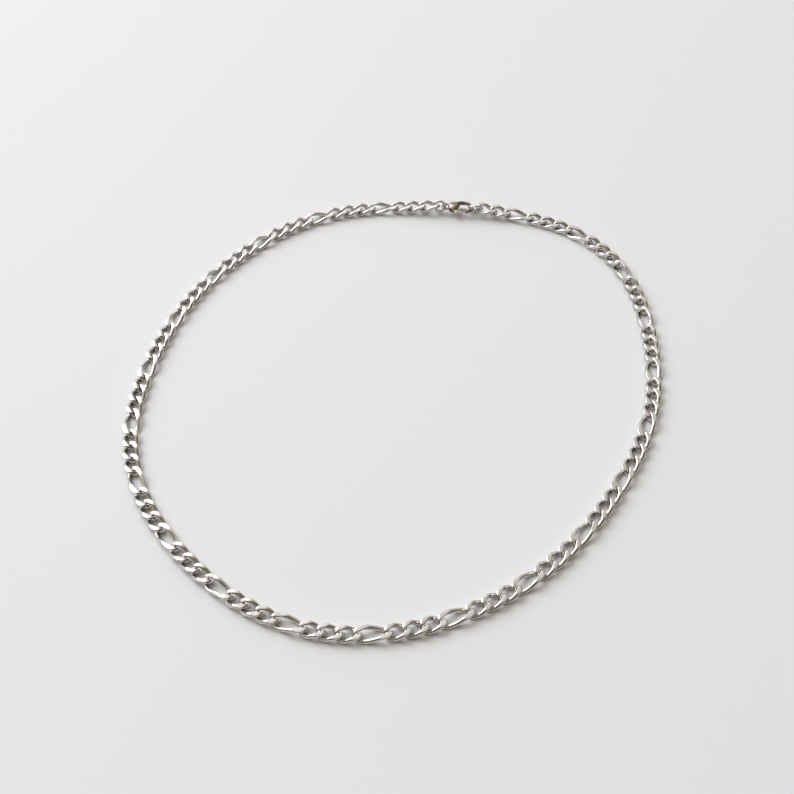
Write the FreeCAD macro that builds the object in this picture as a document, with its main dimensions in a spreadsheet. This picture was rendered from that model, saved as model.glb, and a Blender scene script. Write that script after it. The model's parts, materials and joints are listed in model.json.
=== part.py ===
import FreeCAD, Part

import math
import os

V = FreeCAD.Vector
UP = V(0, 0, 1)

# Every size is in millimetres and every angle in degrees.
VALUES = [
    ("wire_width", 1.2),
    ("link_width", 4.4),
    ("ground_thickness", 2.0),
    ("short_length", 6.6),
    ("short_step", 4.15),
    ("short_rise", 0.76),
    ("long_length", 9.4),
    ("long_step", 6.95),
    ("long_rise", 0.84),
    ("long_fullness", 0.12),
    ("wave_2_amount", 5.6),
    ("wave_2_turn", 117.2),
    ("wave_3_amount", 1.63),
    ("wave_3_turn", 84.1),
    ("wave_4_amount", 0.76),
    ("wave_4_turn", 148.7),
    ("wave_5_amount", 0.96),
    ("wave_5_turn", -135.1),
    ("wave_6_amount", 0.31),
    ("wave_6_turn", -92.5),
    ("wave_7_amount", 0.41),
    ("wave_7_turn", -25.7),
    ("clasp_direction", 80.7),
    ("repeat_count", 22),
    ("clasp_lift", 1.15),
    ("lift_reach", 20.0),
    ("tail_ring_mean", 3.2),
    ("tail_ring_wire", 0.7),
    ("tail_ring_tilt", 75.0),
    ("end_ring_mean", 4.0),
    ("end_ring_wire", 0.8),
    ("end_ring_tilt", -56.0),
    ("ring_split", 3.0),
    ("tail_slack", 0.15),
    ("end_slack", 0.25),
    ("eye_mean", 2.2),
    ("eye_wire", 0.6),
    ("hook_centre", 5.9),
    ("hook_half_length", 2.735),
    ("hook_half_width", 2.0),
    ("hook_root_half_width", 0.7),
    ("hook_root_half_height", 0.9),
    ("hook_end_half_width", 0.45),
    ("hook_end_half_height", 0.47),
    ("housing_centre", 3.0),
    ("housing_half_length", 1.75),
    ("housing_half_width", 2.05),
    ("housing_half_height", 1.2),
    ("housing_flat", 2.2),
    ("slot_height", 1.0),
    ("slot_depth", 0.9),
    ("pivot_offset", -0.7),
    ("pin_radius", 0.35),
    ("pin_seat_gap", 0.02),
    ("pin_running_gap", 0.05),
    ("trigger_thickness", 0.88),
    ("trigger_hub_radius", 0.85),
    ("gate_half_width", 0.34),
    ("gate_tip_forward", 3.65),
    ("gate_tip_side", -0.38),
    ("thumb_forward", 0.95),
    ("thumb_side", -1.95),
    ("spring_radius", 0.3),
    ("spring_wire", 0.18),
    ("spring_pitch", 0.3),
    ("spring_height", 0.95),
    ("spring_forward", 1.35),
]


def make_sheet(doc):
    sheet = doc.addObject("Spreadsheet::Sheet", "sizes")
    for row, (name, value) in enumerate(VALUES, start=1):
        sheet.set("A%d" % row, name)
        sheet.set("B%d" % row, str(value))
        sheet.setAlias("B%d" % row, name)
    doc.recompute()
    return sheet


# ---- the lie of the chain -------------------------------------------------

def loop_waves(size):
    """The waves that turn a circle into the lie of the chain: how many round it, amount, turn."""
    waves = []
    for count in range(2, 8):
        amount = getattr(size, "wave_%d_amount" % count)
        turn = getattr(size, "wave_%d_turn" % count)
        waves.append((count, amount, math.radians(turn)))
    return waves


def loop_point(waves, mean, angle):
    radius = mean
    for count, amount, turn in waves:
        radius += amount * math.cos(count * angle - turn)
    return V(radius * math.cos(angle), radius * math.sin(angle), 0)


def half_ring(mean, wire, other, slack):
    """From a ring's middle to half way between its wire and the wire that pulls on it."""
    return (mean - (wire + other) / 2 - slack) / 2


def ring_steps(size):
    """Joint-to-joint lengths of the tail ring, the clasp and the end ring, and their sum."""
    link = size.wire_width
    hook = 2 * size.hook_end_half_width
    tail_near = half_ring(size.tail_ring_mean, size.tail_ring_wire, link, size.tail_slack)
    tail_far = half_ring(size.tail_ring_mean, size.tail_ring_wire, size.eye_wire, size.tail_slack)
    end_near = half_ring(size.end_ring_mean, size.end_ring_wire, hook, size.end_slack)
    end_far = half_ring(size.end_ring_mean, size.end_ring_wire, link, size.end_slack)
    hook_inset = (size.end_ring_wire + hook) / 4 + size.end_slack / 2
    clasp = size.hook_centre + size.hook_half_length - hook_inset
    return tail_near, tail_far, clasp, end_near, end_far


def chain_order(size):
    """Kinds of link met when walking clockwise from the end ring round to the tail ring."""
    order = ["short"] * 2
    for _ in range(int(size.repeat_count)):
        order += ["long"] + ["short"] * 3
    return order


def joint_heights(size, steps):
    """Height of every joint: the links next to the clasp rise to meet its rings."""
    flat = size.ground_thickness / 2
    total = sum(steps)
    heights = []
    walked = 0.0
    for step in [0.0] + steps:
        walked += step
        near = min(walked, total - walked)
        share = max(0.0, 1 - near / size.lift_reach)
        heights.append(flat + size.clasp_lift * share ** 2)
    return heights


def walk(size, mean, lengths):
    """Chord steps of the given plan lengths laid clockwise along the chain line."""
    waves = loop_waves(size)
    angle = math.radians(size.clasp_direction)
    spot = loop_point(waves, mean, angle)
    spots = [spot]
    for length in lengths:
        near = angle
        far = angle - 0.35
        for _ in range(36):
            middle = (near + far) / 2
            if (loop_point(waves, mean, middle) - spot).Length < length:
                near = middle
            else:
                far = middle
        angle = (near + far) / 2
        spot = loop_point(waves, mean, angle)
        spots.append(spot)
    turned = math.radians(size.clasp_direction) - angle
    return spots, turned


def chain_joints(size):
    """Joint points round the loop, starting at the tail ring's link and closing on it."""
    order = chain_order(size)
    steps = [size.short_step if kind == "short" else size.long_step for kind in order]
    heights = joint_heights(size, steps)
    plan = [sum(ring_steps(size))]
    for index, step in enumerate(steps):
        drop = heights[index + 1] - heights[index]
        plan.append(math.sqrt(step ** 2 - drop ** 2))
    low = 50.0
    high = 90.0
    for _ in range(44):
        mean = (low + high) / 2
        spots, turned = walk(size, mean, plan)
        if turned > 2 * math.pi:
            low = mean
        else:
            high = mean
    for spot, height in zip(spots[1:], heights):
        spot.z = height
    spots[0].z = heights[-1]
    return spots, order


def along(start, end):
    """Placement half way from one point to the other, its X pointing at the second, Z upwards."""
    forward = end - start
    side = UP.cross(forward)
    turn = FreeCAD.Rotation(forward, side, UP, "XZY")
    return FreeCAD.Placement((start + end) * 0.5, turn)


# ---- links ----------------------------------------------------------------

def twisted_loop(size, length, rise, fullness, around, across):
    """Closed twisted wire loop as one smooth surface, from a grid of control points."""
    wire = size.wire_width / 2
    half_length = length / 2 - wire
    half_width = size.link_width / 2 - wire
    once = 3 / (2 + math.cos(2 * math.pi / around))
    twice = 3 / (2 + math.cos(4 * math.pi / around))
    section = wire * 3 / (2 + math.cos(2 * math.pi / across))
    grid = []
    for i in range(around):
        angle = 2 * math.pi * i / around
        cosine = math.cos(angle)
        sine = math.sin(angle)
        swell = 1 + fullness * cosine ** 2
        middle = V(once * half_length * cosine, once * half_width * sine * swell, 0)
        middle.z = -twice * rise * math.sin(2 * angle)
        forward = V(-half_length * sine, half_width * cosine, -2 * rise * math.cos(2 * angle))
        side = forward.cross(UP).normalize()
        upward = side.cross(forward).normalize()
        row = []
        for j in range(across):
            turn = 2 * math.pi * j / across
            row.append(middle + side * (section * math.cos(turn)) + upward * (section * math.sin(turn)))
        grid.append(row)
    surface = Part.BSplineSurface()
    surface.buildFromPolesMultsKnots(
        grid, [1] * (around + 1), [1] * (across + 1),
        list(range(around + 1)), list(range(across + 1)), True, True, 3, 3)
    solid = Part.Solid(Part.Shell([surface.toShape()]))
    if solid.Volume < 0:
        solid.reverse()
    return solid


def ground_link(doc, size, name, length, rise, fullness, around):
    """Twisted wire link with its top and bottom ground flat."""
    wire = doc.addObject("Part::Feature", name + "_wire")
    wire.Shape = twisted_loop(size, length, rise, fullness, around, 8)
    slab = doc.addObject("Part::Box", name + "_slab")
    slab.Length = length + 4
    slab.Width = size.link_width + 4
    slab.setExpression("Height", "sizes.ground_thickness")
    slab.Placement.Base = V(-slab.Length.Value / 2, -slab.Width.Value / 2, 0)
    slab.setExpression("Placement.Base.z", "-sizes.ground_thickness / 2")
    link = doc.addObject("Part::MultiCommon", name)
    link.Shapes = [wire, slab]
    doc.recompute()
    return link.Shape.Solids[0]


# ---- rings ----------------------------------------------------------------

def wire_ring(doc, name, mean, wire, placement):
    """Round wire ring with the fine split where its two ends meet."""
    ring = doc.addObject("Part::Torus", name)
    ring.setExpression("Radius1", "sizes.%s / 2" % mean)
    ring.setExpression("Radius2", "sizes.%s / 2" % wire)
    ring.setExpression("Angle3", "360 - sizes.ring_split")
    ring.Placement = placement
    return ring


def tilted(start, end, tilt, split_turn):
    """Placement along a line, leaning about it, with the ring's split turned to one side."""
    lean = FreeCAD.Placement(V(0, 0, 0), FreeCAD.Rotation(V(1, 0, 0), tilt))
    spin = FreeCAD.Placement(V(0, 0, 0), FreeCAD.Rotation(UP, split_turn))
    return along(start, end).multiply(lean).multiply(spin)


# ---- clasp, in its own frame: joint with the tail ring at 0, +X to the hook ----

def hook_section(size, turn):
    """One oval section of the hook at an angle round it."""
    angle = math.radians(turn)
    middle = V(size.hook_centre + size.hook_half_length * math.cos(angle),
               size.hook_half_width * math.sin(angle), 0)
    forward = V(size.hook_half_length * math.sin(angle), -size.hook_half_width * math.cos(angle), 0)
    outward = forward.cross(UP).normalize()
    share = ((1 + math.cos(math.radians(max(turn, 0)))) / 2) ** 0.6
    width = size.hook_root_half_width + (size.hook_end_half_width - size.hook_root_half_width) * share
    height = size.hook_root_half_height + (size.hook_end_half_height - size.hook_root_half_height) * share
    if height >= width:
        oval = Part.Ellipse(middle + UP * height, middle + outward * width, middle)
    else:
        oval = Part.Ellipse(middle + outward * width, middle + UP * height, middle)
    return Part.Wire([oval.toShape()])


def make_hook(doc, size):
    hook = doc.addObject("Part::Feature", "hook")
    turns = list(range(160, -71, -10))
    hook.Shape = Part.makeLoft([hook_section(size, turn) for turn in turns], True, False)
    tip = doc.addObject("Part::Sphere", "hook_tip")
    tip.setExpression("Radius", "sizes.hook_end_half_width * 0.92")
    angle = math.radians(turns[-1])
    tip.Placement.Base = V(size.hook_centre + size.hook_half_length * math.cos(angle),
                           size.hook_half_width * math.sin(angle), 0)
    return [hook, tip]


def make_housing(doc, size):
    """Rounded housing that holds the trigger, flat on top and below."""
    egg = doc.addObject("Part::Ellipsoid", "housing_egg")
    egg.setExpression("Radius1", "sizes.housing_half_height")
    egg.setExpression("Radius2", "sizes.housing_half_length")
    egg.setExpression("Radius3", "sizes.housing_half_width")
    egg.setExpression("Placement.Base.x", "sizes.housing_centre")
    slab = doc.addObject("Part::Box", "housing_slab")
    slab.Length = 8
    slab.Width = 8
    slab.setExpression("Height", "sizes.housing_flat")
    slab.Placement.Base = V(-1, -4, 0)
    slab.setExpression("Placement.Base.z", "-sizes.housing_flat / 2")
    housing = doc.addObject("Part::MultiCommon", "housing")
    housing.Shapes = [egg, slab]
    return housing


def make_eye(doc, size):
    eye = doc.addObject("Part::Torus", "tail_eye")
    eye.setExpression("Radius1", "sizes.eye_mean / 2")
    eye.setExpression("Radius2", "sizes.eye_wire / 2")
    inset = (size.tail_ring_wire + size.eye_wire) / 4 + size.tail_slack / 2
    eye.Placement.Base = V(size.eye_mean / 2 - inset, 0, 0)
    return eye


def make_clasp_body(doc, size):
    solid = doc.addObject("Part::MultiFuse", "clasp_solid")
    solid.Shapes = make_hook(doc, size) + [make_housing(doc, size), make_eye(doc, size)]
    slot = doc.addObject("Part::Box", "trigger_slot")
    slot.Length = 5
    slot.setExpression("Height", "sizes.slot_height")
    slot.Width = 4 + size.slot_depth
    slot.Placement.Base = V(size.housing_centre - 1.05, -4, -size.slot_height / 2)
    seat = doc.addObject("Part::Cylinder", "pin_seat")
    seat.setExpression("Radius", "sizes.pin_radius + sizes.pin_seat_gap")
    seat.Height = 6
    seat.Placement.Base = V(size.housing_centre, size.pivot_offset, -3)
    notch = doc.addObject("Part::MultiCommon", "slot_in_housing")
    reach = doc.addObject("Part::Box", "housing_reach")
    reach.Length = 2.9
    reach.Width = 8
    reach.Height = 4
    reach.Placement.Base = V(size.housing_centre - 1.05, -4, -2)
    notch.Shapes = [slot, reach]
    holes = doc.addObject("Part::MultiFuse", "clasp_holes")
    holes.Shapes = [notch, seat]
    body = doc.addObject("Part::Cut", "clasp_body")
    body.Base = solid
    body.Tool = holes
    return body


def make_trigger(doc, size):
    """Flat trigger: hub on the pin, gate arm out to the hook's tip, thumb lever at the side."""
    half = size.trigger_thickness / 2
    pivot = V(size.housing_centre, size.pivot_offset, -half)
    hub = Part.makeCylinder(size.trigger_hub_radius, size.trigger_thickness, pivot)
    gate = rounded_bar(size, pivot, V(size.gate_tip_forward, size.gate_tip_side, 0), size.gate_half_width)
    thumb = rounded_bar(size, pivot, V(size.thumb_forward, size.thumb_side, 0), 0.45)
    solid = doc.addObject("Part::Feature", "trigger_plate")
    solid.Shape = hub.fuse([gate, thumb]).removeSplitter()
    bore = doc.addObject("Part::Cylinder", "trigger_bore")
    bore.setExpression("Radius", "sizes.pin_radius + sizes.pin_running_gap")
    bore.Height = 4
    bore.Placement.Base = V(size.housing_centre, size.pivot_offset, -2)
    trigger = doc.addObject("Part::Cut", "clasp_trigger")
    trigger.Base = solid
    trigger.Tool = bore
    return trigger


def rounded_bar(size, start, reach, half_width):
    """Flat bar with a round end, of the trigger's thickness."""
    end = start + reach
    side = UP.cross(reach).normalize() * half_width
    corners = [start + side, end + side, end - side, start - side, start + side]
    bar = Part.Face(Part.makePolygon(corners)).extrude(UP * size.trigger_thickness)
    return bar.fuse(Part.makeCylinder(half_width, size.trigger_thickness, end))


def make_pin(doc, size):
    pin = doc.addObject("Part::Cylinder", "clasp_pin")
    pin.setExpression("Radius", "sizes.pin_radius")
    pin.setExpression("Height", "sizes.housing_flat")
    pin.Placement.Base = V(size.housing_centre, size.pivot_offset, -size.housing_flat / 2)
    return pin


def make_spring(doc, size):
    """Small coil between the gate arm and the housing's inner wall."""
    line = doc.addObject("Part::Helix", "spring_line")
    line.setExpression("Pitch", "sizes.spring_pitch")
    line.setExpression("Height", "sizes.spring_height")
    line.setExpression("Radius", "sizes.spring_radius")
    section = doc.addObject("Part::Circle", "spring_section")
    section.setExpression("Radius", "sizes.spring_wire / 2")
    section.Placement = FreeCAD.Placement(V(size.spring_radius, 0, 0), FreeCAD.Rotation(V(1, 0, 0), 90))
    spring = doc.addObject("Part::Sweep", "clasp_spring")
    spring.Sections = [section]
    spring.Spine = (line, ["Edge1"])
    spring.Solid = True
    spring.Frenet = True
    slope = size.gate_tip_side / size.gate_tip_forward
    lift = size.pivot_offset + slope * size.spring_forward + size.gate_half_width + size.spring_wire / 2 + 0.08
    spring.Placement = FreeCAD.Placement(V(size.housing_centre + size.spring_forward, lift, 0),
                                         FreeCAD.Rotation(V(1, 0, 0), -90))
    return spring


# ---- assembly -------------------------------------------------------------

def placed_copy(doc, name, shape, placement):
    part = doc.addObject("Part::Feature", name)
    part.Shape = shape
    part.Placement = placement
    return part


def link_group(doc, name, shape, placements):
    """Short links that lie between two long ones, kept as one sub-part of separate links."""
    middle = placements[len(placements) // 2]
    members = []
    for index, placement in enumerate(placements, start=1):
        local = middle.inverse().multiply(placement)
        members.append(placed_copy(doc, "%s_link_%d" % (name, index), shape, local))
    group = doc.addObject("Part::Compound", name)
    group.Links = members
    group.Placement = middle
    return group


def lay_chain(doc, joints, order, short, long):
    """Name and place every link, walking clockwise from the end ring."""
    parts = []
    waiting = []
    longs = 0
    for index, kind in enumerate(order):
        placement = along(joints[index + 1], joints[index + 2])
        if kind == "short":
            waiting.append(placement)
            continue
        name = "end_links" if longs == 0 else "short_links_%02d" % longs
        parts.append(link_group(doc, name, short, waiting))
        waiting = []
        longs += 1
        parts.append(placed_copy(doc, "long_link_%02d" % longs, long, placement))
    parts.append(link_group(doc, "tail_links", short, waiting))
    return parts


def lay_clasp(doc, size, joints):
    """Rings and clasp in one line between the two ends of the chain."""
    start = joints[0]
    end = joints[1]
    forward = (end - start).normalize()
    tail_near, tail_far, clasp, end_near, end_far = ring_steps(size)
    tail_middle = start + forward * tail_near
    tail_joint = tail_middle + forward * tail_far
    hook_joint = tail_joint + forward * clasp
    end_middle = hook_joint + forward * end_near
    frame = along(start, end)
    frame.Base = tail_joint
    parts = [make_clasp_body(doc, size), make_trigger(doc, size), make_pin(doc, size), make_spring(doc, size)]
    for part in parts:
        part.Placement = frame.multiply(part.Placement)
    tail_place = tilted(start, end, size.tail_ring_tilt, 75)
    tail_place.Base = tail_middle
    parts.append(wire_ring(doc, "tail_ring", "tail_ring_mean", "tail_ring_wire", tail_place))
    end_place = tilted(start, end, size.end_ring_tilt, 75)
    end_place.Base = end_middle
    parts.append(wire_ring(doc, "end_ring", "end_ring_mean", "end_ring_wire", end_place))
    return parts


def centre_on_origin(doc, parts):
    """Put the middle of the whole necklace's footprint on the origin, lying on the ground."""
    box = FreeCAD.BoundBox()
    for part in parts:
        box.add(part.Shape.optimalBoundingBox(False, False))
    shift = V(-box.Center.x, -box.Center.y, -box.ZMin)
    for part in parts:
        part.Placement.Base = part.Placement.Base + shift
    doc.recompute()
    return shift


def check(doc):
    for thing in doc.Objects:
        if "Invalid" in thing.State or "Error" in thing.State:
            raise RuntimeError("%s did not build" % thing.Label)
        if hasattr(thing, "Shape"):
            if thing.Shape.isNull() or not thing.Shape.isValid():
                raise RuntimeError("%s has no valid shape" % thing.Label)


def main():
    doc = FreeCAD.newDocument("necklace")
    size = make_sheet(doc)
    joints, order = chain_joints(size)
    short = ground_link(doc, size, "short_master", size.short_length, size.short_rise, 0.0, 24)
    long = ground_link(doc, size, "long_master", size.long_length, size.long_rise, size.long_fullness, 32)
    parts = lay_chain(doc, joints, order, short, long)
    parts += lay_clasp(doc, size, joints)
    doc.recompute()
    centre_on_origin(doc, parts)
    check(doc)
    os.makedirs("parts", exist_ok=True)
    for part in parts:
        part.Shape.exportStep("parts/%s.step" % part.Label)
        print(part.Label, len(part.Shape.Solids), round(part.Shape.Volume, 3))


main()
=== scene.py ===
import json
import math

import bpy
import numpy as np
from mathutils import Matrix, Vector


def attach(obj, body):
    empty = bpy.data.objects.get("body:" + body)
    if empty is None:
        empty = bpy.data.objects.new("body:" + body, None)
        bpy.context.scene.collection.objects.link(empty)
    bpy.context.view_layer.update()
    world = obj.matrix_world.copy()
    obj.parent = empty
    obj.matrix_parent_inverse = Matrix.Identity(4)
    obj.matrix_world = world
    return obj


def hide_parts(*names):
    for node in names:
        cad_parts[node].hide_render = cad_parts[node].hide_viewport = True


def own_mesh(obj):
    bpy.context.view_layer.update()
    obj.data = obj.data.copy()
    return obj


MM = 0.001
WELD_STEP = 2e-7

WIRE_RADIUS = 0.6 * MM
LINK_HALF_WIDTH = 1.6 * MM
GROUND_HALF = 1.0 * MM
EDGE_SOFTNESS = 0.20 * MM
SHORT = {"half_length": 2.7 * MM, "rise": 0.76 * MM, "fullness": 0.0, "around": 96}
LONG = {"half_length": 4.1 * MM, "rise": 0.84 * MM, "fullness": 0.12, "around": 128}

# Where the mesh's columns stand: in edge softnesses from a ground face's edge, and as shares of its cap.
EDGE_COLUMNS = (-1.0, -0.35, 0.35, 1.0)
CAP_COLUMNS = (0.35, 0.7)
WALL_COLUMNS = 8
HIGHEST_SINE = math.sin(math.radians(80))
LOWEST_SINE = -0.98
COLUMN_SPREAD = 0.002

TAIL_RING_WIRE_RADIUS = 0.35 * MM
END_RING_WIRE_RADIUS = 0.4 * MM
RING_AROUND = 160
RING_ACROSS = 40
RING_END_SOFTNESS = 0.11 * MM
RING_END_SHARE = 0.78

RIVET_SPREAD = 1.22
RIVET_CROWN = 0.12 * MM
RIVET_RIM = 0.03 * MM
RIVET_RIM_SHARE = 0.99
RIVET_NECK = 0.05 * MM
RIVET_AROUND = 48
RIVET_CROWN_STEPS = 10

SPRING_WIRE_RADIUS = 0.09 * MM
SPRING_TURNS = 4.5
SPRING_CLOSED = 0.12
SPRING_AROUND = 180
SPRING_ACROSS = 16

# Sizes in millimetres, because the copies are remeshed at a thousand times their size.
BODY_VOXEL = 0.055
TRIGGER_VOXEL = 0.045
BODY_ROUNDS = 6
TRIGGER_ROUNDS = 8
SMOOTH_FACTOR = 0.5

LINK_TONES = [(0.30, (0.62, 0.605, 0.58)), (0.62, (0.71, 0.70, 0.685))]
RING_TONES = [(0.30, (0.64, 0.62, 0.595)), (0.62, (0.74, 0.725, 0.71))]
CAST_TONES = [(0.33, (0.15, 0.120, 0.090)), (0.48, (0.27, 0.230, 0.185)), (0.66, (0.43, 0.385, 0.33))]
PLATE_TONES = [(0.33, (0.36, 0.315, 0.26)), (0.62, (0.60, 0.565, 0.515))]
SPRING_TONES = [(0.30, (0.34, 0.32, 0.30)), (0.65, (0.55, 0.54, 0.52))]

# Noise scales are per metre, and the shares are of a metal's own roughness.
CLOUD_DETAIL = 4
SCRATCH_DETAIL = 3
SMUDGE_DETAIL = 5
WAVE_DETAIL = 1
SCRATCH_SCALE = (900, 9000, 9000)
SCRATCH_TURN = 0.5
SCRATCH_DEPTH = 0.01 * MM
SCRATCH_SPAN = (0.3, 0.7)
SCRATCH_SHARES = (0.55, 1.25)
SMUDGE_SCALE = 900
SMUDGE_SPAN = (0.55, 0.75)
SMUDGE_SHARES = (0.0, 0.7)
WAVE_SCALE = 320

FLOOR_SIZE = 6
FLOOR_DROP = 0.02 * MM
FLOOR_ROUGHNESS = 0.8
FLOOR_SPECULAR = 0.2
FLOOR_CLOUD_SCALE = 12
FLOOR_TONES = ((0.838, 0.865, 0.900, 1), (0.878, 0.905, 0.940, 1))

WORLD_BRIGHT_SIDE = (-0.33, 0.75, 0.575)
WORLD_STRENGTH = 1.5
WORLD_STOPS = [
    (0.05, (0.112, 0.090, 0.062, 1)),
    (0.30, (0.222, 0.183, 0.137, 1)),
    (0.52, (0.45, 0.415, 0.370, 1)),
    (0.74, (0.475, 0.440, 0.395, 1)),
    (0.85, (0.505, 0.490, 0.465, 1)),
    (0.91, (0.74, 0.74, 0.735, 1)),
    (0.99, (0.96, 0.96, 0.96, 1)),
]

SOFTBOX_PLACE = (-1.02, 0.74, 1.06)
SOFTBOX_SIZE = 1.3
SOFTBOX_POWER = 19.0
SOFTBOX_COLOUR = (0.97, 0.985, 1.0)

CAMERA_PLACE = (-0.00033, -0.21663, 0.24732)
CAMERA_AIM = (-0.00033, -0.00150, 0)
CAMERA_LENS = 56.675
CAMERA_CLIP = (0.005, 20)


# ---- reading the frame ----------------------------------------------------

def node_arrays(node):
    """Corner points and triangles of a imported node."""
    mesh = frame["nodes"][node].data
    points = np.empty(len(mesh.vertices) * 3)
    mesh.vertices.foreach_get("co", points)
    mesh.calc_loop_triangles()
    faces = np.empty(len(mesh.loop_triangles) * 3, dtype=np.int64)
    mesh.loop_triangles.foreach_get("vertices", faces)
    return points.reshape(-1, 3), faces.reshape(-1, 3)


def solids_in(node):
    """Triangles of each separate solid in a node, as arrays of corner points."""
    points, faces = node_arrays(node)
    keys = np.round(points / WELD_STEP).astype(np.int64)
    _, same = np.unique(keys, axis=0, return_inverse=True)
    same = same.reshape(-1)
    faces = same[faces]
    parent = np.arange(same.max() + 1)
    while True:
        low = parent[faces].min(axis=1)
        before = parent.copy()
        for corner in range(3):
            np.minimum.at(parent, faces[:, corner], low)
        parent = parent[parent]
        if np.array_equal(before, parent):
            break
    where = np.empty((same.max() + 1, 3))
    where[same] = points
    for root in np.unique(parent[faces[:, 0]]):
        yield where[faces[parent[faces[:, 0]] == root]]


def principal_frame(corners):
    """Middle and axes of a solid from its surface: longest first, last pointing up."""
    a, b, c = corners[:, 0], corners[:, 1], corners[:, 2]
    areas = np.linalg.norm(np.cross(b - a, c - a), axis=1) / 2
    middles = (a + b + c) / 3
    centre = (middles * areas[:, None]).sum(0) / areas.sum()
    spread = np.zeros((3, 3))
    for one, two in ((a, b), (b, c), (c, a)):
        half = (one + two) / 2 - centre
        spread += (half * areas[:, None]).T @ half
    _, vectors = np.linalg.eigh(spread)
    long_axis, up = vectors[:, 2], vectors[:, 0]
    if up[2] < 0:
        up = -up
    side = np.cross(up, long_axis)
    turn = Matrix((long_axis, side, up)).transposed()
    return Matrix.Translation(Vector(centre)) @ turn.to_4x4()


# ---- meshes ---------------------------------------------------------------

def soft_limit(height, limit, softness):
    """Height cut off at a limit, with a small rounded edge."""
    over = height - (limit - softness)
    blended = (limit - softness) + over - over ** 2 / (4 * softness)
    return np.where(over <= 0, height, np.where(over >= 2 * softness, limit, blended))


def edge_angles(height, reach):
    """Angles round the wire about a ground face's edge, at this height above the wire's middle."""
    angles = []
    for offset in EDGE_COLUMNS:
        sine = (height + offset * EDGE_SOFTNESS) / reach
        highest = HIGHEST_SINE + COLUMN_SPREAD * offset
        angles.append(math.asin(max(LOWEST_SINE, min(highest, sine))))
    return angles


def section_angles(middle_height, up_height):
    """Angles round the wire, with columns kept on the edges of the ground faces."""
    reach = WIRE_RADIUS * up_height
    upper = edge_angles(GROUND_HALF - middle_height, reach)
    lower = [-angle for angle in edge_angles(GROUND_HALF + middle_height, reach)]
    top = math.pi / 2
    upper_cap = [upper[-1] + (top - upper[-1]) * share for share in CAP_COLUMNS]
    lower_cap = [lower[-1] - (top + lower[-1]) * share for share in reversed(CAP_COLUMNS)]
    wall_step = (upper[0] - lower[0]) / (WALL_COLUMNS + 1)
    wall = [lower[0] + wall_step * step for step in range(1, WALL_COLUMNS + 1)]
    right = [-top] + lower_cap + lower[::-1] + wall + upper + upper_cap + [top]
    left = [math.pi - angle for angle in right[-2:0:-1]]
    return right + left


def link_sections(half_length, rise, fullness, around):
    """Rings of points along one link: a twisted loop of round wire, ground flat above and below."""
    rings = []
    for i in range(around):
        t = 2 * math.pi * i / around
        c, s = math.cos(t), math.sin(t)
        swell = 1 + fullness * c * c
        middle = Vector((half_length * c, LINK_HALF_WIDTH * s * swell, -rise * math.sin(2 * t)))
        forward = Vector((-half_length * s, LINK_HALF_WIDTH * c, -2 * rise * math.cos(2 * t)))
        side = forward.cross(Vector((0, 0, 1))).normalized()
        upward = side.cross(forward).normalized()
        ring = []
        for angle in section_angles(middle.z, upward.z):
            around_wire = side * math.cos(angle) + upward * math.sin(angle)
            ring.append(middle + around_wire * WIRE_RADIUS)
        rings.append(ring)
    points = np.array(rings)
    points[..., 2] = soft_limit(points[..., 2], GROUND_HALF, EDGE_SOFTNESS)
    points[..., 2] = -soft_limit(-points[..., 2], GROUND_HALF, EDGE_SOFTNESS)
    return points


def closed_grid_faces(around, across, start=0):
    """Faces of rings of points that close on themselves both ways."""
    rows = np.arange(around)[:, None]
    columns = np.arange(across)[None, :]
    next_row = (rows + 1) % around
    next_column = (columns + 1) % across
    corners = [rows * across + columns, rows * across + next_column,
               next_row * across + next_column, next_row * across + columns]
    filled = [corner + np.zeros((around, across), int) for corner in corners]
    return np.stack(filled, axis=-1).reshape(-1, 4) + start


def tube_faces(around, across):
    """Faces of an open run of rings, with a flat face across each end."""
    last_ring = (around - 1) * across
    sides = [tuple(side) for side in closed_grid_faces(around, across)[:last_ring]]
    near_end = tuple(range(across))
    far_end = tuple(range(last_ring, last_ring + across))[::-1]
    return sides + [near_end, far_end]


def add_mesh(name, points, faces, material):
    mesh = bpy.data.meshes.new(name)
    mesh.from_pydata([tuple(p) for p in points], [], [tuple(int(i) for i in f) for f in faces])
    mesh.update()
    mesh.polygons.foreach_set("use_smooth", [True] * len(mesh.polygons))
    mesh.materials.append(material)
    obj = bpy.data.objects.new(name, mesh)
    bpy.context.scene.collection.objects.link(obj)
    return obj


def stand_for(obj, node, body=None):
    """The piece is shown in place of the node, and rides on its body."""
    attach(obj, body or node)
    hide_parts(node)


def make_links(node, recipe, material):
    """One piece for a node: a fine ground link in place of each of its solids."""
    sections = link_sections(**recipe)
    around, across = sections.shape[:2]
    flat = sections.reshape(-1, 3)
    points, faces = [], []
    for corners in solids_in(node):
        place = np.array(principal_frame(corners))
        points.append(flat @ place[:3, :3].T + place[:3, 3])
        faces.append(closed_grid_faces(around, across, start=len(faces) * around * across))
    obj = add_mesh("fine_" + node, np.vstack(points), np.vstack(faces), material)
    stand_for(obj, node)


def own_frame(node):
    """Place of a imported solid, and its surface points as seen from that place."""
    corners = next(solids_in(node))
    place = principal_frame(corners)
    points = corners.reshape(-1, 3) - np.array(place.translation)
    return place, points @ np.array(place.to_3x3())


def from_own_frame(points, place):
    return np.array(points) @ np.array(place.to_3x3()).T + np.array(place.translation)


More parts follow.
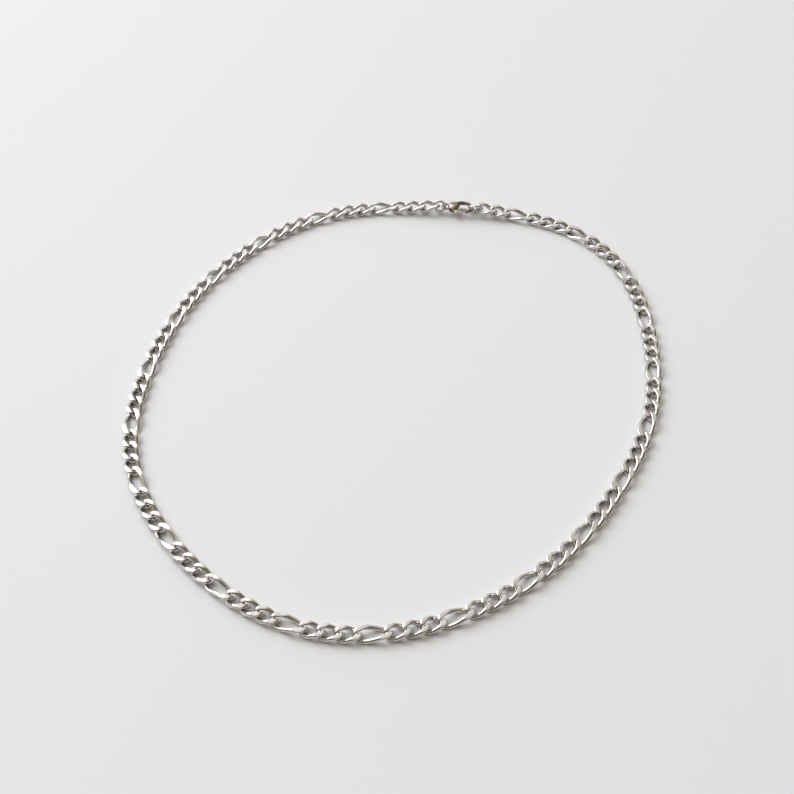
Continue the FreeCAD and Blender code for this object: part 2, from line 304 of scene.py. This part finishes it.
def make_jump_ring(node, wire_radius, material):
    """Wire ring with its two cut ends softened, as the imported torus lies."""
    place, local = own_frame(node)
    centre = (local.max(0) + local.min(0)) / 2
    mean = (local.max(0)[0] - local.min(0)[0]) / 2 - wire_radius
    plane = local - centre
    turns = np.sort(np.arctan2(plane[:, 1], plane[:, 0]))
    gaps = np.diff(np.append(turns, turns[0] + 2 * math.pi))
    widest = int(gaps.argmax())
    start = turns[widest] + gaps[widest]
    sweep = 2 * math.pi - gaps[widest]
    points = []
    for i in range(RING_AROUND + 1):
        share = i / RING_AROUND
        from_end = min(share, 1 - share) * sweep * mean
        radius = wire_radius
        if from_end < RING_END_SOFTNESS:
            rise = math.sqrt(1 - (1 - from_end / RING_END_SOFTNESS) ** 2)
            radius = wire_radius * (RING_END_SHARE + (1 - RING_END_SHARE) * rise)
        turn = start + share * sweep
        out = np.array((math.cos(turn), math.sin(turn), 0.0))
        for j in range(RING_ACROSS):
            angle = 2 * math.pi * j / RING_ACROSS
            height = np.array((0, 0, radius * math.sin(angle)))
            points.append(centre + out * (mean + radius * math.cos(angle)) + height)
    faces = tube_faces(RING_AROUND + 1, RING_ACROSS)
    obj = add_mesh("fine_" + node, from_own_frame(points, place), faces, material)
    stand_for(obj, node)


def make_casting(node, body, material, voxel, rounds):
    """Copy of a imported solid, remeshed finely and rounded over at its edges."""
    mesh = frame["nodes"][node].data.copy()
    mesh.materials.clear()
    obj = bpy.data.objects.new("fine_" + node, mesh)
    bpy.context.scene.collection.objects.link(obj)
    mesh.transform(Matrix.Scale(1 / MM, 4))
    remesh = obj.modifiers.new("remesh", "REMESH")
    remesh.mode = "VOXEL"
    remesh.voxel_size = voxel
    smooth = obj.modifiers.new("smooth", "CORRECTIVE_SMOOTH")
    smooth.iterations = rounds
    smooth.factor = SMOOTH_FACTOR
    smooth.smooth_type = "LENGTH_WEIGHTED"
    bpy.context.view_layer.update()
    evaluated = obj.evaluated_get(bpy.context.evaluated_depsgraph_get())
    made = bpy.data.meshes.new_from_object(evaluated)
    obj.modifiers.clear()
    obj.data = made
    made.transform(Matrix.Scale(MM, 4))
    made.polygons.foreach_set("use_smooth", [True] * len(made.polygons))
    made.materials.clear()
    made.materials.append(material)
    stand_for(obj, node, body)


def rivet_profile(half, shaft):
    """Places along the pin and radii there, from one domed head to the other."""
    head = shaft * RIVET_SPREAD
    crown = []
    for step in range(RIVET_CROWN_STEPS + 1):
        angle = math.pi / 2 * step / RIVET_CROWN_STEPS
        crown.append((half + RIVET_CROWN * math.cos(angle), head * math.sin(angle)))
    under = [(half - RIVET_RIM, head * RIVET_RIM_SHARE), (half - RIVET_NECK, shaft), (half / 2, shaft)]
    one_end = crown + under
    other_end = [(-along, radius) for along, radius in reversed(one_end)]
    return one_end + [(0.0, shaft)] + other_end


def make_rivet(node, material):
    """Turned pin with a domed, slightly spread head at each end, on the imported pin's line."""
    place, local = own_frame(node)
    size = local.max(0) - local.min(0)
    profile = rivet_profile(size[0] / 2, size[1] / 2)
    points = [(profile[0][0], 0.0, 0.0)]
    for along, radius in profile[1:-1]:
        for j in range(RIVET_AROUND):
            turn = 2 * math.pi * j / RIVET_AROUND
            points.append((along, radius * math.cos(turn), radius * math.sin(turn)))
    points.append((profile[-1][0], 0.0, 0.0))
    faces = []
    for row in range(len(profile) - 3):
        first = 1 + row * RIVET_AROUND
        for j in range(RIVET_AROUND):
            a, b = first + j, first + (j + 1) % RIVET_AROUND
            faces.append((a, a + RIVET_AROUND, b + RIVET_AROUND, b))
    last = len(points) - 1
    for j in range(RIVET_AROUND):
        following = (j + 1) % RIVET_AROUND
        faces.append((0, 1 + j, 1 + following))
        faces.append((last, last - RIVET_AROUND + following, last - RIVET_AROUND + j))
    obj = add_mesh("fine_" + node, from_own_frame(points, place), faces, material)
    stand_for(obj, node, "clasp")


def clasp_axes():
    """Directions along the clasp towards its hook, to its side and up, from the joints' own axes."""
    joints = {joint["name"]: joint for joint in frame["joints"]}
    along = Vector(joints["tail_side_bend"]["axis"])
    start = Vector(joints["tail_side_bend"]["pos_m"])
    up = Vector(joints["trigger_pivot"]["axis"])
    if along.dot(Vector(joints["trigger_pivot"]["pos_m"]) - start) < 0:
        along = -along
    return along, up.cross(along), up


def make_spring(node, material):
    """Coil spring with closed ends, sized to the imported spring and riding on the clasp."""
    along, side, up = clasp_axes()
    axes = np.array((side, along, up))
    local = next(solids_in(node)).reshape(-1, 3) @ axes.T
    low, high = local.min(0), local.max(0)
    centre = (low + high) / 2
    half = (high[0] - low[0]) / 2 - SPRING_WIRE_RADIUS
    mean = (high[1] - low[1]) / 2 - SPRING_WIRE_RADIUS
    points = []
    for i in range(SPRING_AROUND + 1):
        share = i / SPRING_AROUND
        turn = 2 * math.pi * SPRING_TURNS * share
        rise = min(1.0, max(0.0, (share - SPRING_CLOSED) / (1 - 2 * SPRING_CLOSED)))
        middle = centre + np.array((half * (2 * rise - 1), mean * math.cos(turn), mean * math.sin(turn)))
        out = np.array((0.0, math.cos(turn), math.sin(turn)))
        for j in range(SPRING_ACROSS):
            angle = 2 * math.pi * j / SPRING_ACROSS
            across = out * math.cos(angle) + np.array((math.sin(angle), 0.0, 0.0))
            points.append(middle + across * SPRING_WIRE_RADIUS)
    faces = tube_faces(SPRING_AROUND + 1, SPRING_ACROSS)
    obj = add_mesh("fine_" + node, np.array(points) @ axes, faces, material)
    stand_for(obj, node, "clasp")
    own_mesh(obj)


# ---- materials ------------------------------------------------------------

def add_noise(nodes, links, vector, scale, detail):
    noise = nodes.new("ShaderNodeTexNoise")
    noise.inputs["Scale"].default_value = scale
    noise.inputs["Detail"].default_value = detail
    links.new(vector, noise.inputs["Vector"])
    return noise.outputs["Fac"]


def add_range(nodes, links, value, source, target):
    level = nodes.new("ShaderNodeMapRange")
    level.inputs["From Min"].default_value, level.inputs["From Max"].default_value = source
    level.inputs["To Min"].default_value, level.inputs["To Max"].default_value = target
    links.new(value, level.inputs["Value"])
    return level.outputs["Result"]


def add_bump(nodes, links, height, strength, distance, under=None):
    bump = nodes.new("ShaderNodeBump")
    bump.inputs["Strength"].default_value = strength
    bump.inputs["Distance"].default_value = distance
    links.new(height, bump.inputs["Height"])
    if under is not None:
        links.new(under, bump.inputs["Normal"])
    return bump.outputs["Normal"]


def metal(name, stops, cloud_scale, roughness, scratch, wave):
    """Steel: tone varying in clouds, uneven hand-polished surface, fine scratches and dull smudges."""
    mat = bpy.data.materials.new(name)
    mat.use_nodes = True
    nodes, links = mat.node_tree.nodes, mat.node_tree.links
    shader = nodes["Principled BSDF"]
    shader.inputs["Metallic"].default_value = 1.0
    place = nodes.new("ShaderNodeTexCoord").outputs["Object"]

    clouds = add_noise(nodes, links, place, cloud_scale, CLOUD_DETAIL)
    ramp = nodes.new("ShaderNodeValToRGB")
    elements = ramp.color_ramp.elements
    elements[0].position, elements[0].color = stops[0][0], stops[0][1] + (1,)
    elements[1].position, elements[1].color = stops[-1][0], stops[-1][1] + (1,)
    for position, colour in stops[1:-1]:
        elements.new(position).color = colour + (1,)
    links.new(clouds, ramp.inputs["Fac"])
    links.new(ramp.outputs["Color"], shader.inputs["Base Color"])

    stretch = nodes.new("ShaderNodeMapping")
    stretch.inputs["Scale"].default_value = SCRATCH_SCALE
    stretch.inputs["Rotation"].default_value = (0, 0, SCRATCH_TURN)
    links.new(place, stretch.inputs["Vector"])
    lines = add_noise(nodes, links, stretch.outputs["Vector"], 1, SCRATCH_DETAIL)
    smudges = add_noise(nodes, links, place, SMUDGE_SCALE, SMUDGE_DETAIL)
    fine = add_range(nodes, links, lines, SCRATCH_SPAN, [roughness * share for share in SCRATCH_SHARES])
    dull = add_range(nodes, links, smudges, SMUDGE_SPAN, [roughness * share for share in SMUDGE_SHARES])
    total = nodes.new("ShaderNodeMath")
    total.operation = "ADD"
    links.new(fine, total.inputs[0])
    links.new(dull, total.inputs[1])
    links.new(total.outputs["Value"], shader.inputs["Roughness"])

    waves = add_noise(nodes, links, place, WAVE_SCALE, WAVE_DETAIL)
    uneven = add_bump(nodes, links, waves, 1.0, wave)
    normal = add_bump(nodes, links, lines, scratch, SCRATCH_DEPTH, under=uneven)
    links.new(normal, shader.inputs["Normal"])
    return mat


def floor_material():
    """Plain pale surface, faintly clouded."""
    mat = bpy.data.materials.new("pale_floor")
    mat.use_nodes = True
    nodes, links = mat.node_tree.nodes, mat.node_tree.links
    shader = nodes["Principled BSDF"]
    shader.inputs["Roughness"].default_value = FLOOR_ROUGHNESS
    shader.inputs["Specular IOR Level"].default_value = FLOOR_SPECULAR
    noise = nodes.new("ShaderNodeTexNoise")
    noise.inputs["Scale"].default_value = FLOOR_CLOUD_SCALE
    ramp = nodes.new("ShaderNodeValToRGB")
    for element, tone in zip(ramp.color_ramp.elements, FLOOR_TONES):
        element.color = tone
    links.new(noise.outputs["Fac"], ramp.inputs["Fac"])
    links.new(ramp.outputs["Color"], shader.inputs["Base Color"])
    return mat


# ---- surroundings ---------------------------------------------------------

def make_floor():
    bpy.ops.mesh.primitive_plane_add(size=FLOOR_SIZE, location=(0, 0, -FLOOR_DROP))
    floor = bpy.context.object
    floor.name = "floor"
    floor.data.materials.append(floor_material())


def make_world():
    """Bright studio overhead and behind, falling to a warm brown room low on the camera's side."""
    world = bpy.data.worlds.new("studio")
    bpy.context.scene.world = world
    world.use_nodes = True
    nodes, links = world.node_tree.nodes, world.node_tree.links
    background = nodes["Background"]
    coords = nodes.new("ShaderNodeTexCoord")
    toward = nodes.new("ShaderNodeVectorMath")
    toward.operation = "DOT_PRODUCT"
    toward.inputs[1].default_value = WORLD_BRIGHT_SIDE
    links.new(coords.outputs["Generated"], toward.inputs[0])
    ramp = nodes.new("ShaderNodeValToRGB")
    elements = ramp.color_ramp.elements
    elements[0].position, elements[0].color = WORLD_STOPS[0]
    elements[1].position, elements[1].color = WORLD_STOPS[-1]
    for position, colour in WORLD_STOPS[1:-1]:
        elements.new(position).color = colour
    links.new(toward.outputs["Value"], ramp.inputs["Fac"])
    links.new(ramp.outputs["Color"], background.inputs["Color"])
    background.inputs["Strength"].default_value = WORLD_STRENGTH


def make_softbox():
    """One large soft light, high on the left behind the object and aimed at its middle."""
    light = bpy.data.lights.new("softbox", "AREA")
    light.energy = SOFTBOX_POWER
    light.size = SOFTBOX_SIZE
    light.color = SOFTBOX_COLOUR
    obj = bpy.data.objects.new("softbox", light)
    bpy.context.scene.collection.objects.link(obj)
    obj.location = SOFTBOX_PLACE
    obj.rotation_euler = (-Vector(SOFTBOX_PLACE)).to_track_quat("-Z", "Y").to_euler()


def make_camera():
    data = bpy.data.cameras.new("camera")
    data.lens = CAMERA_LENS
    data.clip_start, data.clip_end = CAMERA_CLIP
    obj = bpy.data.objects.new("camera", data)
    bpy.context.scene.collection.objects.link(obj)
    obj.location = CAMERA_PLACE
    aim = Vector(CAMERA_AIM) - Vector(CAMERA_PLACE)
    obj.rotation_euler = aim.to_track_quat("-Z", "Y").to_euler()
    bpy.context.scene.camera = obj


# ---- build ----------------------------------------------------------------

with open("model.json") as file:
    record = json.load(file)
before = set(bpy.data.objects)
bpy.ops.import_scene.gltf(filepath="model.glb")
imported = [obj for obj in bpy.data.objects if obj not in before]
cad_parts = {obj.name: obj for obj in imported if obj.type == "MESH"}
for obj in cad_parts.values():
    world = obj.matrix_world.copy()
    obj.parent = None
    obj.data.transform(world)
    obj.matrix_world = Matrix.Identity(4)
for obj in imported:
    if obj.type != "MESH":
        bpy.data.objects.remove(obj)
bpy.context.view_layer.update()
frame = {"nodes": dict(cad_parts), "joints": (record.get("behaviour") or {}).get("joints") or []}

link_steel = metal("link_steel", LINK_TONES, cloud_scale=420, roughness=0.10, scratch=0.25, wave=0.12 * MM)
ring_steel = metal("ring_steel", RING_TONES, cloud_scale=500, roughness=0.11, scratch=0.3, wave=0.02 * MM)
cast_steel = metal("cast_steel", CAST_TONES, cloud_scale=900, roughness=0.32, scratch=0.5, wave=0.06 * MM)
plate_steel = metal("plate_steel", PLATE_TONES, cloud_scale=800, roughness=0.17, scratch=0.45, wave=0.03 * MM)
spring_steel = metal("spring_steel", SPRING_TONES, cloud_scale=2500, roughness=0.25, scratch=0.4,
                     wave=0.01 * MM)

for node in frame["nodes"]:
    if node.startswith("long_link"):
        make_links(node, LONG, link_steel)
    elif node.endswith("_links") or node.startswith("short_links"):
        make_links(node, SHORT, link_steel)
make_jump_ring("tail_ring", TAIL_RING_WIRE_RADIUS, ring_steel)
make_jump_ring("end_ring", END_RING_WIRE_RADIUS, ring_steel)
make_casting("clasp_body", "clasp", cast_steel, BODY_VOXEL, BODY_ROUNDS)
make_casting("clasp_trigger", "trigger", plate_steel, TRIGGER_VOXEL, TRIGGER_ROUNDS)
make_rivet("clasp_pin", plate_steel)
make_spring("clasp_spring", spring_steel)

make_floor()
make_world()
make_softbox()
make_camera()
bpy.context.scene.view_settings.view_transform = "Standard"
